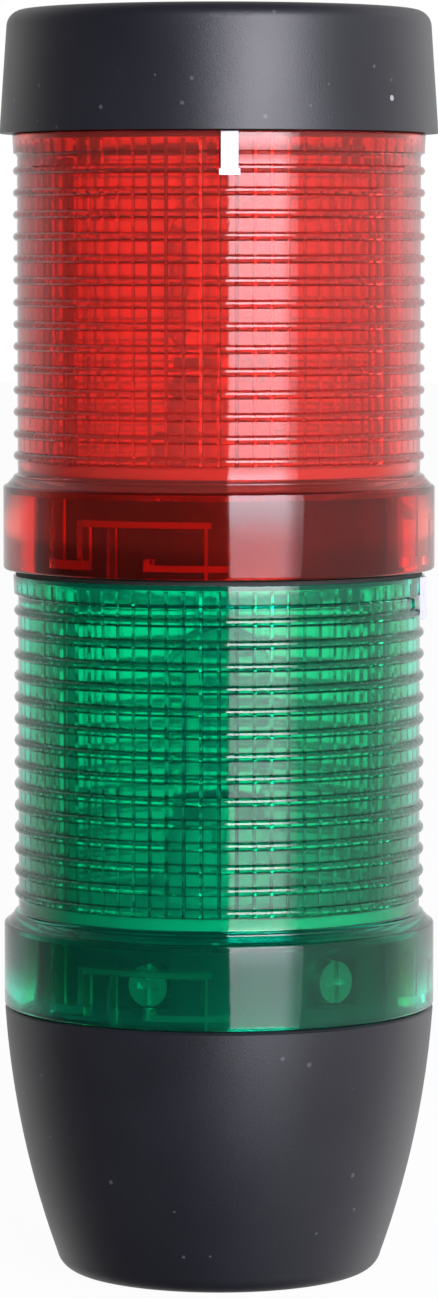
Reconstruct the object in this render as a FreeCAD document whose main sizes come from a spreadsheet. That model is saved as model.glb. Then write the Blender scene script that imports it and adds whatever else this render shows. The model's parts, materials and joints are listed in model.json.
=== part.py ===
"""Two-tier stack light: tapered base, green unit, red unit and cap, joined by bayonets.

Millimetres, +Z up, origin at the centre of the bottom face.  The front of the light
looks along -Y.  An azimuth is an angle in degrees from the front, growing towards +X.
Lens-unit pieces are drawn from the foot of their own collar and lifted into place.
"""
import FreeCAD, Part
import math
import os
import re
import Sketcher
from FreeCAD import Placement, Rotation, Vector

# Driving dimensions: alias, value and what it is.
DIMENSIONS = [
    ("base_height", 43.4, "top of the base rim"),
    ("base_rim_radius", 34.9, "base rim, outside"),
    ("base_foot_radius", 26.5, "base just above its foot rounding"),
    ("base_foot_height", 2.8, "height of that rounding"),
    ("base_foot_curve", 3.6, "radius of that rounding"),
    ("base_flat_radius", 22.6, "flat the base stands on"),
    ("base_side_curve", 149.0, "radius of the bellied base side"),
    ("cavity_top_radius", 31.6, "base cavity, under the terminal ring"),
    ("cavity_floor_radius", 24.8, "base cavity, at its floor"),
    ("floor_height", 3.5, "thickness of the base floor"),
    ("tube_bore_radius", 12.6, "socket for the mounting tube"),
    ("tube_bore_depth", 32.0, "depth of that socket"),
    ("sleeve_radius", 15.2, "outside of the tube socket"),
    ("sleeve_top", 35.5, "top of the tube socket"),
    ("wire_hole_radius", 6.0, "wire passage over the tube"),
    ("seat_height", 40.6, "ledge that carries the terminal ring"),
    ("seat_radius", 32.6, "bore of the base rim over that ledge"),
    ("seat_ledge", 1.5, "thickness of the ledge"),
    ("web_top", 31.0, "top of the ribs in the base"),
    ("web_thickness", 1.8, "thickness of those ribs"),
    ("weld", 0.3, "how far one form reaches into the one it grows from"),
    ("fit", 0.3, "air between pieces that fit into each other"),
    ("unit_foot", 43.6, "underside of the first collar"),
    ("unit_pitch", 71.0, "height that one lens unit adds"),
    ("unit_top", 70.1, "top of a lens over its collar foot"),
    ("collar_height", 13.7, "collar of a lens unit"),
    ("collar_radius", 35.0, "collar, outside"),
    ("collar_bore", 32.4, "collar, inside"),
    ("edge_break", 0.4, "small chamfers"),
    ("lens_tip_radius", 33.4, "both bands of a lens"),
    ("lens_root_radius", 32.6, "lens between its beads"),
    ("lens_bore", 30.8, "lens, inside"),
    ("lens_ledge_bore", 29.6, "bore of the ledge in a lens"),
    ("low_band", 1.4, "height of the band over the collar"),
    ("low_band_slope", 0.8, "height of the slope from that band to the lens"),
    ("high_band", 2.7, "height of the band at the top"),
    ("high_band_slope", 1.1, "height of the slope from that band to the lens"),
    ("bead_count", 14, "half-round beads round a lens"),
    ("bead_pitch", 3.53, "step from bead to bead"),
    ("first_bead", 18.37, "middle of the lowest bead over the collar foot"),
    ("bead_radius", 0.72, "radius of a bead"),
    ("ledge_foot", 13.0, "underside of the ledge that carries the lamp carrier"),
    ("ledge_corner", 0.8, "slope under that ledge"),
    ("carrier_foot", 15.2, "underside of the lamp carrier"),
    ("carrier_face", 17.2, "upper face of the lamp carrier"),
    ("neck_radius", 30.0, "bayonet neck, outside"),
    ("neck_bore", 26.6, "bayonet neck, inside"),
    ("neck_top", 12.7, "top of a neck over the collar foot"),
    ("neck_plate", 1.8, "plate that closes a neck"),
    ("neck_plate_bore", 12.0, "wire hole in that plate"),
    ("flange_radius", 31.2, "flange at the foot of a neck"),
    ("flange_height", 0.6, "thickness of that flange"),
    ("spigot_depth", 1.0, "how far a neck reaches into the lens under it"),
    ("cut_start", 31.0, "where the cuts into a neck start, from the axis"),
    ("seal_room", 0.1, "air beside a seal"),
    ("ring_bore", 17.0, "bore of the terminal ring's flange"),
    ("ring_flange", 2.0, "thickness of that flange"),
    ("key_azimuth", -66.5, "place of the first key channel on a neck"),
    ("key_width", 6.8, "width of the key channels"),
    ("key_floor", 29.3, "floor of the key channels, from the axis"),
    ("lug_radius", 31.7, "bayonet lugs on a neck"),
    ("lug_foot", 3.5, "underside of a lug over the collar foot"),
    ("lug_top", 7.6, "upper side of a lug"),
    ("lug_span", 7.5, "width of a lug in degrees"),
    ("lug_azimuth", -8.5, "place of the first lug"),
    ("catch_radius", 30.4, "inner face of the catch walls in a collar"),
    ("plate_radius", 30.6, "lamp carrier plate and the spigot under a neck"),
    ("strip_width", 1.2, "conductor strip, across"),
    ("strip_slot", 1.6, "holes that let the strips through, across"),
    ("strip_bend_top", 66.2, "upper side of the bend below a coupling"),
    ("foot_contact_reach", 3.0, "how far the lower contacts reach inwards"),
    ("top_contact_reach", 3.5, "how far the upper contacts reach inwards"),
    ("foot_contact_height", 1.0, "thickness of the lower contacts"),
    ("strip_radius", 28.8, "middle of the conductor strips in a lens"),
    ("riser_radius", 24.0, "middle of the strips where they cross a coupling"),
    ("contact_gap", 0.3, "air between the contacts of two units"),
    ("contact_height", 0.6, "thickness of the contact faces"),
    ("strip_azimuth", -58.5, "middle of the first pair of conductor strips"),
    ("strip_spread", 5.0, "degrees from that middle to either strip"),
    ("terminal_azimuth", -22.0, "place of the first terminal"),
    ("terminal_height", 50.0, "axis of the terminal screws"),
    ("terminal_head_radius", 3.2, "terminal screw head"),
    ("terminal_head_height", 2.2, "height of that head"),
    ("terminal_head_seat", 27.2, "where those heads sit, from the axis"),
    ("terminal_recess", 5.9, "how far the head recess reaches to the left"),
    ("terminal_head_room", 0.5, "air round the head in its recess"),
    ("terminal_shank_radius", 1.75, "terminal screw shank"),
    ("terminal_shank_length", 6.2, "terminal screw shank under its head"),
    ("screw_slot_width", 1.0, "slot and cross of a terminal screw, across"),
    ("screw_slot_depth", 1.2, "depth of that slot and cross"),
    ("screw_cross_arm", 1.8, "reach of the shorter arms of that cross"),
    ("leg_inner", 25.0, "inner face of a terminal's leg"),
    ("leg_outer", 26.4, "outer face of a terminal's leg"),
    ("leg_width", 6.0, "width of a terminal's leg"),
    ("leg_drop", 4.0, "how far a leg hangs below the screw's axis"),
    ("contact_inner", 20.0, "inner edge of the terminal contacts"),
    ("sight_offset", 1.1, "how far a sight slot lies to the left of its terminal"),
    ("sight_width", 1.6, "width of a sight slot"),
    ("sight_rise", 3.0, "foot of a sight slot over the screw's axis"),
    ("fixing_radius", 22.0, "circle of the ring fixing screws"),
    ("fixing_azimuth", 8.0, "place of the first ring fixing screw"),
    ("fixing_hole_radius", 1.6, "hole for a ring fixing screw"),
    ("fixing_shank_radius", 1.2, "shank of that screw"),
    ("fixing_shank_depth", 11.0, "how far that shank reaches below the ledge"),
    ("fixing_head_radius", 2.7, "head of that screw"),
    ("fixing_head_height", 1.8, "height of that head"),
    ("boss_radius", 3.2, "bosses of the ring fixing screws"),
    ("pilot_radius", 1.25, "pilot holes in those bosses"),
    ("pilot_depth", 13.0, "depth of the pilot holes"),
    ("clamp_height", 14.0, "axis of the tube clamp screw"),
    ("clamp_boss_radius", 4.6, "boss of that screw"),
    ("clamp_boss_length", 13.6, "length of that boss"),
    ("clamp_insert_radius", 3.2, "threaded insert in that boss"),
    ("clamp_insert_inner", 13.2, "inner end of the insert, from the axis"),
    ("clamp_insert_outer", 22.0, "outer end of the insert, from the axis"),
    ("clamp_hole_radius", 2.2, "hole through the side of the base"),
    ("clamp_hole_start", 32.0, "outer end of that hole, from the axis"),
    ("clamp_screw_radius", 2.05, "tube clamp screw"),
    ("clamp_screw_inner", 13.0, "inner end of that screw, from the axis"),
    ("clamp_screw_outer", 28.4, "outer end of that screw, from the axis"),
    ("clamp_slot_width", 0.8, "slot of that screw, across"),
    ("clamp_slot_depth", 1.4, "depth of that slot"),
    ("lamp_base_radius", 7.5, "metal base of the lamp"),
    ("lamp_base_foot", 2.0, "underside of the metal base over the carrier"),
    ("lamp_base_top", 17.0, "top of the metal base over the carrier"),
    ("lamp_tip_radius", 2.0, "contact under the metal base"),
    ("lamp_pin_radius", 0.95, "pins of the metal base"),
    ("lamp_pin_height", 9.5, "axis of the pins over the carrier"),
    ("lamp_pin_reach", 1.1, "how far a pin stands out"),
    ("lamp_glass_radius", 8.8, "lamp bulb"),
    ("lamp_glass_foot", 20.5, "where the bulb is full, over the carrier"),
    ("lamp_glass_top", 36.0, "where the bulb starts to close, over the carrier"),
    ("lamp_glass_neck", 0.6, "step from the metal base to the bulb"),
    ("socket_radius", 8.4, "sleeve of the lamp socket"),
    ("socket_height", 13.0, "height of that sleeve over the carrier"),
    ("pin_slot_foot", 8.0, "foot of the sleeve's slots over the carrier"),
    ("pin_slot_width", 2.4, "width of the sleeve's slots"),
    ("cup_radius", 10.5, "cup round the lamp socket"),
    ("cup_height", 4.8, "height of that cup over the carrier"),
    ("cap_rim_radius", 35.45, "cap at its rim"),
    ("cap_shoulder_radius", 34.3, "cap under its top rounding"),
    ("cap_rounding", 2.6, "rounding of the cap's upper edge"),
    ("cap_height", 19.1, "top of the cap over the last collar foot"),
    ("cap_drop", 0.7, "how far the cap rim hangs below that level"),
    ("cap_top_plate", 2.2, "thickness of the cap's top"),
    ("cap_corner", 1.2, "slope inside the cap's upper edge"),
    ("mark_height", 6.9, "foot of an index mark below the top of its lens"),
    ("mark_thickness", 0.6, "how far an index mark stands out"),
    ("mark_foot_height", 1.0, "height of the wider foot of an index mark"),
    ("mark_span", 4.6, "width of an index mark in degrees"),
    ("mark_foot_span", 5.6, "width of its foot in degrees"),
    ("red_mark_azimuth", 2.8, "white index mark of the red unit"),
    ("green_mark_azimuth", 78.0, "white index mark of the green unit"),
]

doc = FreeCAD.newDocument("StackLight")
sheet = doc.addObject("Spreadsheet::Sheet", "Dims")
for row, (alias, value, meaning) in enumerate(DIMENSIONS, start=1):
    sheet.set("A%d" % row, meaning)
    sheet.set("B%d" % row, str(value))
    sheet.setAlias("B%d" % row, alias)
doc.recompute()

bodies = []


# ---------------------------------------------------------------- helpers

def dim(expression):
    """The number that an expression in sheet aliases stands for."""
    return float(sheet.evalExpression(str(expression)))


def bound(expression):
    """The same expression as other objects of the document write it."""
    return re.sub(r"\b([a-z]\w*)", r"Dims.\1", str(expression))


def new_body(name, lift=None):
    """A sub-part's body, lifted to the height that an expression gives."""
    body = doc.addObject("PartDesign::Body", name)
    body.Label = name
    if lift is not None:
        body.setExpression(".Placement.Base.z", bound(lift))
    bodies.append(body)
    return body


def origin_feature(body, role):
    """One of the body's own origin planes or axes."""
    return next(item for item in body.Origin.OriginFeatures if item.Role == role)


def new_sketch(body, name, plane="XZ_Plane", turn=0.0, out=0.0):
    """A sketch on an origin plane, turned about Z and moved out along its normal."""
    sketch = body.newObject("Sketcher::SketchObject", body.Name + "_" + name)
    sketch.AttachmentSupport = [(origin_feature(body, plane), "")]
    sketch.MapMode = "FlatFace"
    upright = Vector(0, 1, 0) if plane == "XZ_Plane" else Vector(0, 0, 1)
    rotation = Rotation(upright, turn)
    sketch.AttachmentOffset = Placement(rotation.multVec(Vector(0, 0, out)), rotation)
    return sketch


def pin_point(sketch, geometry, end, across, up):
    """Hold one end of a line or arc at the place that two expressions give."""
    for kind, axis, expression in (("DistanceX", -2, across), ("DistanceY", -1, up)):
        if abs(dim(expression)) < 1e-9:
            sketch.addConstraint(Sketcher.Constraint("PointOnObject", geometry, end, axis))
            continue
        held = Sketcher.Constraint(kind, -1, 1, geometry, end, dim(expression))
        index = sketch.addConstraint(held)
        if not is_number(expression):
            sketch.setExpression("Constraints[%d]" % index, bound(expression))


def is_number(expression):
    return isinstance(expression, (int, float))


def arc_through(start, finish, radius):
    """An arc that bulges to the right of the way from start to finish."""
    chord = finish - start
    half = chord.Length / 2.0
    left = Vector(-chord.y, chord.x, 0).normalize()
    centre = start + chord * 0.5 + left * math.sqrt(max(0.0, radius ** 2 - half ** 2))
    first = math.atan2(start.y - centre.y, start.x - centre.x)
    last = math.atan2(finish.y - centre.y, finish.x - centre.x)
    circle = Part.Circle(centre, Vector(0, 0, 1), radius)
    return Part.ArcOfCircle(circle, first, last)


def draw_outline(sketch, corners):
    """A closed outline, counter-clockwise, through (across, up) corners.

    A third item in a corner is the radius of the arc that leaves it; every other
    side is straight.
    """
    places = [Vector(dim(corner[0]), dim(corner[1]), 0) for corner in corners]
    for number, corner in enumerate(corners):
        start = places[number]
        finish = places[(number + 1) % len(corners)]
        if len(corner) > 2:
            sketch.addGeometry(arc_through(start, finish, dim(corner[2])), False)
            held = Sketcher.Constraint("Radius", number, dim(corner[2]))
            index = sketch.addConstraint(held)
            if not is_number(corner[2]):
                sketch.setExpression("Constraints[%d]" % index, bound(corner[2]))
        else:
            sketch.addGeometry(Part.LineSegment(start, finish), False)
    for number in range(len(corners)):
        following = (number + 1) % len(corners)
        sketch.addConstraint(Sketcher.Constraint("Coincident", number, 2, following, 1))
        pin_point(sketch, number, 1, corners[number][0], corners[number][1])


def draw_circle(sketch, across, up, radius):
    """A full circle whose centre and radius are expressions."""
    centre = Vector(dim(across), dim(up), 0)
    circle = Part.Circle(centre, Vector(0, 0, 1), dim(radius))
    number = sketch.addGeometry(circle, False)
    pin_point(sketch, number, 3, across, up)
    index = sketch.addConstraint(Sketcher.Constraint("Radius", number, dim(radius)))
    if not is_number(radius):
        sketch.setExpression("Constraints[%d]" % index, bound(radius))


def finish_feature(body, feature, change):
    """Make the feature the body's tip and see that it adds or removes material."""
    before = 0.0 if body.Shape.isNull() else body.Shape.Volume
    body.Tip = feature
    doc.recompute()
    if "Up-to-date" not in feature.State:
        raise RuntimeError("%s is %s" % (feature.Name, feature.State))
    if change * (body.Shape.Volume - before) <= 1e-6:
        raise RuntimeError("%s changes nothing" % feature.Name)
    return feature


def revolve(body, name, corners, azimuth=None, span=360.0):
    """A turned form, or a sector of one centred on an azimuth."""
    turn = 0.0 if azimuth is None else azimuth - 90.0
    sketch = new_sketch(body, name + "_outline", turn=turn)
    draw_outline(sketch, corners)
    feature = body.newObject("PartDesign::Revolution", body.Name + "_" + name)
    feature.Profile = sketch
    feature.ReferenceAxis = (sketch, ["V_Axis"])
    feature.Angle = span
    feature.Midplane = azimuth is not None
    return finish_feature(body, feature, 1)


def pad(body, name, sketch, length, both_ways=False, backwards=False):
    """Material raised from a sketch by the length that an expression gives."""
    feature = body.newObject("PartDesign::Pad", body.Name + "_" + name)
    feature.Profile = sketch
    feature.Length = dim(length)
    if not is_number(length):
        feature.setExpression("Length", bound(length))
    feature.Midplane = both_ways
    feature.Reversed = backwards
    return finish_feature(body, feature, 1)


def pocket(body, name, sketch, depth, both_ways=False):
    """Material cut away behind a sketch, against its normal."""
    feature = body.newObject("PartDesign::Pocket", body.Name + "_" + name)
    feature.Profile = sketch
    feature.Length = dim(depth)
    if not is_number(depth):
        feature.setExpression("Length", bound(depth))
    feature.Midplane = both_ways
    return finish_feature(body, feature, -1)


def repeat_round(body, name, originals, count, change):
    """Features repeated evenly about the body's own Z axis."""
    feature = body.newObject("PartDesign::PolarPattern", body.Name + "_" + name)
    feature.Originals = originals
    feature.Axis = (origin_feature(body, "Z_Axis"), [""])
    feature.Angle = 360
    feature.Occurrences = count
    return finish_feature(body, feature, change)


def repeat_up(body, name, originals, count, pitch):
    """Features repeated upwards, a pitch apart."""
    feature = body.newObject("PartDesign::LinearPattern", body.Name + "_" + name)
    feature.Originals = originals
    feature.Direction = (origin_feature(body, "Z_Axis"), [""])
    feature.setExpression("Length", bound("(%s - 1) * %s" % (count, pitch)))
    feature.setExpression("Occurrences", bound(count))
    doc.recompute()
    return finish_feature(body, feature, 1)


def box_outline(left, bottom, right, top):
    """The four corners of an upright rectangle."""
    return [(left, bottom), (right, bottom), (right, top), (left, top)]


def ring(name, inner, outer, bottom, top, lift=None):
    """A flat ring of rectangular section."""
    body = new_body(name, lift)
    revolve(body, "section", box_outline(inner, bottom, outer, top))
    return body


# ---------------------------------------------------------------- bayonets

def add_lugs(body, foot):
    """Three lugs round a neck whose collar foot is at the height given."""
    outline = box_outline("neck_radius - weld", foot + " + lug_foot",
                          "lug_radius", foot + " + lug_top")
    lug = revolve(body, "lug", outline, dim("lug_azimuth"), dim("lug_span"))
    repeat_round(body, "lugs", [lug], 3, 1)


# The walls of one bayonet catch inside a collar: name, first and last azimuth, foot
# and top over the collar foot.  A lug rises between the posts, turns over the ledge
# past the hook, and stops at the end post.
CATCH_WALLS = [
    ("guard_post", -53, -51, 1.3, 12.0),
    ("guard_foot", -53, -40, 1.3, 2.7),
    ("rail_post", -42, -40, 1.3, 9.0),
    ("rail", -42, -2, 8.0, 9.0),
    ("entry_post", -32, -31, 0.3, 9.0),
    ("end_post", -4, -3, 0.3, 9.0),
    ("ledge", -21, 3, 1.3, 2.3),
    ("hook", -21, -19, 1.3, 3.2),
]


def add_catches(body):
    """Three catches round the inside of a collar."""
    walls = []
    for name, first, last, foot, top in CATCH_WALLS:
        outline = box_outline("catch_radius", foot, "collar_bore + weld", top)
        walls.append(revolve(body, name, outline, (first + last) / 2.0, last - first))
    repeat_round(body, "catches", walls, 3, 1)


def add_keys(body, foot, top):
    """Three flat-bottomed key channels up the outside of a neck."""
    sketch = new_sketch(body, "key_outline", turn=dim("key_azimuth"),
                        out=dim("cut_start"))
    draw_outline(sketch, box_outline("-key_width / 2", foot, "key_width / 2", top))
    key = pocket(body, "key", sketch, "cut_start - key_floor")
    repeat_round(body, "keys", [key], 3, -1)


def strip_azimuths():
    """Places of the six conductor strips: three pairs, a third of a turn apart."""
    middle, spread = dim("strip_azimuth"), dim("strip_spread")
    return [middle + 120.0 * pair + side * spread for pair in range(3) for side in (-1, 1)]


def add_strip_slots(body, radius, top, depth):
    """Square holes, cut down from a height, that let the conductor strips through."""
    slots = []
    for side, azimuth in enumerate(strip_azimuths()[:2]):
        sketch = new_sketch(body, "slot_outline_%d" % side, "XY_Plane", azimuth - 90.0,
                            dim(top))
        draw_outline(sketch, box_outline(radius + " - strip_slot / 2", "-strip_slot / 2",
                                         radius + " + strip_slot / 2", "strip_slot / 2"))
        slots.append(pocket(body, "slot_%d" % side, sketch, depth))
    repeat_round(body, "slots", slots, 3, -1)


# ---------------------------------------------------------------- base

def base_housing():
    """Moulded cup with a bellied side, a tube socket, ribs and screw bosses."""
    body = new_body("base_housing")
    revolve(body, "cup", [
        ("tube_bore_radius", 0),
        ("base_flat_radius", 0, "base_foot_curve"),
        ("base_foot_radius", "base_foot_height", "base_side_curve"),
        ("base_rim_radius", "base_height - edge_break"),
        ("base_rim_radius - edge_break", "base_height"),
        ("seat_radius", "base_height"),
        ("seat_radius", "seat_height"),
        ("cavity_top_radius", "seat_height"),
        ("cavity_top_radius", "seat_height - seat_ledge"),
        ("cavity_floor_radius", "floor_height"),
        ("sleeve_radius", "floor_height"),
        ("sleeve_radius", "sleeve_top"),
        ("wire_hole_radius", "sleeve_top"),
        ("wire_hole_radius", "tube_bore_depth"),
        ("tube_bore_radius", "tube_bore_depth"),
    ])
    fixing = dim("fixing_azimuth")
    web_sketch = new_sketch(body, "web_outline", turn=fixing - 90.0)
    draw_outline(web_sketch, [
        ("sleeve_radius - weld", "floor_height - weld"),
        ("cavity_floor_radius + 2 * weld", "floor_height - weld"),
        ("cavity_top_radius + 2 * weld", "web_top"),
        ("sleeve_radius - weld", "web_top"),
    ])
    web = pad(body, "web", web_sketch, "web_thickness", both_ways=True)
    repeat_round(body, "webs", [web], 6, 1)

    boss_sketch = new_sketch(body, "boss_outline", "XY_Plane", fixing - 90.0,
                             dim("floor_height - weld"))
    draw_circle(boss_sketch, "fixing_radius", 0, "boss_radius")
    boss = pad(body, "boss", boss_sketch, "seat_height - floor_height + weld")
    repeat_round(body, "bosses", [boss], 3, 1)
    pilot_sketch = new_sketch(body, "pilot_outline", "XY_Plane", fixing - 90.0,
                              dim("seat_height"))
    draw_circle(pilot_sketch, "fixing_radius", 0, "pilot_radius")
    pilot = pocket(body, "pilot", pilot_sketch, "pilot_depth")
    repeat_round(body, "pilots", [pilot], 3, -1)

    # The tube clamp screw comes in from the rear.
    clamp_sketch = new_sketch(body, "clamp_boss_outline", turn=180.0,
                              out=dim("sleeve_radius - 1.0"))
    draw_circle(clamp_sketch, 0, "clamp_height", "clamp_boss_radius")
    pad(body, "clamp_boss", clamp_sketch, "clamp_boss_length")
    insert_sketch = new_sketch(body, "clamp_bore_outline", turn=180.0,
                               out=dim("clamp_insert_outer"))
    draw_circle(insert_sketch, 0, "clamp_height", "clamp_insert_radius")
    pocket(body, "clamp_bore", insert_sketch, "clamp_insert_outer - tube_bore_radius + 2 * weld")
    hole_sketch = new_sketch(body, "clamp_hole_outline", turn=180.0,
                             out=dim("clamp_hole_start"))
    draw_circle(hole_sketch, 0, "clamp_height", "clamp_hole_radius")
    pocket(body, "clamp_hole", hole_sketch, "clamp_hole_start - clamp_insert_outer + weld")


def clamp_pieces():
    """Threaded insert in the clamp boss and the set screw that grips the tube."""
    lying = Rotation(Vector(1, 0, 0), -90.0)
    insert = new_body("clamp_insert")
    revolve(insert, "section", box_outline(
        "clamp_screw_radius + 0.05", "clamp_insert_inner",
        "clamp_insert_radius", "clamp_insert_outer"))
    screw = new_body("tube_clamp_screw")
    revolve(screw, "shaft", box_outline(0, "clamp_screw_inner",
                                        "clamp_screw_radius", "clamp_screw_outer"))
    slot_sketch = new_sketch(screw, "slot_outline", "XY_Plane", out=dim("clamp_screw_outer"))
    draw_outline(slot_sketch, box_outline("-clamp_screw_radius - fit", "-clamp_slot_width / 2",
                                          "clamp_screw_radius + fit", "clamp_slot_width / 2"))
    pocket(screw, "slot", slot_sketch, "clamp_slot_depth")
    for body in (insert, screw):
        body.Placement = Placement(Vector(0, 0, 0), lying)
        body.setExpression(".Placement.Base.z", bound("clamp_height"))


def terminal_ring():
    """Neck of the base: flange, wall with six screw pockets, top plate and lugs."""
    body = new_body("terminal_ring")
    flange_top = "seat_height + ring_flange"
    top = "unit_foot + neck_top"
    revolve(body, "neck", [
        ("ring_bore", "seat_height"),
        ("seat_radius - fit", "seat_height"),
        ("seat_radius - fit", flange_top),
        ("neck_radius", flange_top),
        ("neck_radius", top),
        ("neck_plate_bore", top),
        ("neck_plate_bore", top + " - neck_plate"),
        ("neck_bore", top + " - neck_plate"),
        ("neck_bore", flange_top),
        ("ring_bore", flange_top),
    ])
    first = dim("terminal_azimuth")
    start = dim("cut_start")
    head_sketch = new_sketch(body, "head_pocket_outline", turn=first, out=start)
    room = "terminal_head_radius + terminal_head_room"
    draw_outline(head_sketch, box_outline("-terminal_recess", "terminal_height - (%s)" % room,
                                          room, "terminal_height + " + room))
    head = pocket(body, "head_pocket", head_sketch, "cut_start - terminal_head_seat")
    shank_sketch = new_sketch(body, "shank_hole_outline", turn=first, out=start)
    draw_circle(shank_sketch, 0, "terminal_height", "terminal_shank_radius + fit / 2")
    shank = pocket(body, "shank_hole", shank_sketch, "cut_start - leg_inner")
    slot_sketch = new_sketch(body, "terminal_slot_outline", "XY_Plane", first - 90.0,
                             dim(top))
    draw_outline(slot_sketch, box_outline("leg_inner - fit", "-leg_width / 2 - fit",
                                          "leg_outer + fit", "leg_width / 2 + fit"))
    slot = pocket(body, "terminal_slot", slot_sketch, "neck_plate + weld")
    repeat_round(body, "terminal_places", [head, shank, slot], 6, -1)

    sight_sketch = new_sketch(body, "sight_slot_outline", turn=first + 60.0, out=start)
    draw_outline(sight_sketch, box_outline(
        "-sight_offset - sight_width / 2", "terminal_height + sight_rise",
        "-sight_offset + sight_width / 2", top + " - neck_plate"))
    sight = pocket(body, "sight_slot", sight_sketch, "cut_start - leg_outer + weld")
    repeat_round(body, "sight_slots", [sight], 3, -1)
    fixing_sketch = new_sketch(body, "fixing_hole_outline", "XY_Plane",
                               dim("fixing_azimuth") - 90.0, dim(flange_top))
    draw_circle(fixing_sketch, "fixing_radius", 0, "fixing_hole_radius")
    fixing = pocket(body, "fixing_hole", fixing_sketch, "ring_flange + weld")
    repeat_round(body, "fixing_holes", [fixing], 3, -1)
    add_keys(body, flange_top, top)
    add_lugs(body, "unit_foot")


def terminal_screw(number):
    """Screw that lies radially, its slotted and crossed head sunk in the neck."""
    body = new_body("terminal_screw_%d" % number)
    face = "terminal_head_seat + terminal_head_height"
    revolve(body, "shaft", [
        (0, "terminal_head_seat - terminal_shank_length"),
        ("terminal_shank_radius", "terminal_head_seat - terminal_shank_length"),
        ("terminal_shank_radius", "terminal_head_seat"),
        ("terminal_head_radius", "terminal_head_seat"),
        ("terminal_head_radius", face),
        (0, face),
    ])
    half = "screw_slot_width / 2"
    reach = "terminal_head_radius + fit"
    slot_sketch = new_sketch(body, "slot_outline", "XY_Plane", out=dim(face))
    draw_outline(slot_sketch, box_outline("-" + half, "-(%s)" % reach, half, reach))
    pocket(body, "slot", slot_sketch, "screw_slot_depth")
    cross_sketch = new_sketch(body, "cross_outline", "XY_Plane", out=dim(face))
    draw_outline(cross_sketch, box_outline("-screw_cross_arm", "-" + half,
                                           "screw_cross_arm", half))
    pocket(body, "cross", cross_sketch, "screw_slot_depth")
    azimuth = dim("terminal_azimuth") + 60.0 * (number - 1)
    outward = Rotation(Vector(0, 0, 1), azimuth) * Rotation(Vector(1, 0, 0), 90.0)
    body.Placement = Placement(Vector(0, 0, 0), outward)
    body.setExpression(".Placement.Base.z", bound("terminal_height"))


# First and last azimuth of a terminal's contact arc, from the terminal itself.
ODD_CONTACT_SPAN = (-35.0, 3.0)
EVEN_CONTACT_SPAN = (-3.0, 22.0)


def terminal_strip(number):
    """Bent metal terminal: an upright leg behind the neck and a contact arc on top.

    The arcs of neighbouring terminals end under the two strips of one pair.
    """
    body = new_body("terminal_strip_%d" % number)
    azimuth = dim("terminal_azimuth") + 60.0 * (number - 1)
    top = "unit_foot + neck_top"
    leg_sketch = new_sketch(body, "leg_outline", turn=azimuth - 90.0)
    draw_outline(leg_sketch, box_outline("leg_inner", "terminal_height - leg_drop",
                                         "leg_outer", top + " + contact_height"))
    pad(body, "leg", leg_sketch, "leg_width", both_ways=True)
    hole_sketch = new_sketch(body, "hole_outline", turn=azimuth, out=dim("cut_start"))
    draw_circle(hole_sketch, 0, "terminal_height", "terminal_shank_radius + 0.05")
    pocket(body, "hole", hole_sketch, "cut_start - leg_inner + weld")
    first, last = ODD_CONTACT_SPAN if number % 2 else EVEN_CONTACT_SPAN
    outline = box_outline("contact_inner", top, "leg_outer", top + " + contact_height")
    revolve(body, "contact_arc", outline, azimuth + (first + last) / 2, last - first)


def ring_screw(number):
    """Pan-head screw that holds the terminal ring on its boss."""
    body = new_body("ring_screw_%d" % number)
    tip = "seat_height - fixing_shank_depth"
    flange_top = "seat_height + ring_flange"
    revolve(body, "shaft", [
        (0, tip),
        ("fixing_shank_radius", tip),
        ("fixing_shank_radius", flange_top),
        ("fixing_head_radius", flange_top),
        ("fixing_head_radius", flange_top + " + fixing_head_height"),
        (0, flange_top + " + fixing_head_height"),
    ])
    azimuth = math.radians(dim("fixing_azimuth") + 120.0 * (number - 1))
    radius = dim("fixing_radius")
    body.Placement = Placement(Vector(radius * math.sin(azimuth),
                                      -radius * math.cos(azimuth), 0), Rotation())


# ---------------------------------------------------------------- lens units

def lens(name, lift):
    """Clear coloured moulding: collar with catches, beaded lens and carrier ledge."""
    body = new_body(name, lift)
    revolve(body, "shell", [
        ("collar_bore", 0),
        ("collar_radius - edge_break", 0),
        ("collar_radius", "edge_break"),
        ("collar_radius", "collar_height - edge_break"),
        ("collar_radius - edge_break", "collar_height"),
        ("lens_tip_radius", "collar_height"),
        ("lens_tip_radius", "collar_height + low_band"),
        ("lens_root_radius", "collar_height + low_band + low_band_slope"),
        ("lens_root_radius", "unit_top - high_band - high_band_slope"),
        ("lens_tip_radius", "unit_top - high_band"),
        ("lens_tip_radius", "unit_top"),
        ("lens_bore", "unit_top"),
        ("lens_bore", "carrier_foot"),
        ("lens_ledge_bore", "carrier_foot"),
        ("lens_ledge_bore", "ledge_foot"),
        ("collar_bore - ledge_corner", "ledge_foot"),
        ("collar_bore", "ledge_foot - ledge_corner"),
    ])
    bead = revolve(body, "bead", [
        ("lens_root_radius - weld", "first_bead - bead_radius"),
        ("lens_root_radius", "first_bead - bead_radius", "bead_radius"),
        ("lens_root_radius", "first_bead + bead_radius"),
        ("lens_root_radius - weld", "first_bead + bead_radius"),
    ])
    repeat_up(body, "beads", [bead], "bead_count", "bead_pitch")
    add_catches(body)


def index_mark(name, lift, azimuth):
    """White tab over the top band and the highest bead, with a wider foot."""
    body = new_body(name, lift)
    inner = "lens_tip_radius"
    outer = "lens_tip_radius + mark_thickness"
    foot = "unit_top - mark_height"
    tab = box_outline(inner, foot, outer, "unit_top - edge_break / 4")
    revolve(body, "tab", tab, azimuth, dim("mark_span"))
    wide_foot = box_outline(inner, foot, outer, foot + " + mark_foot_height")
    revolve(body, "foot", wide_foot, azimuth, dim("mark_foot_span"))


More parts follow.
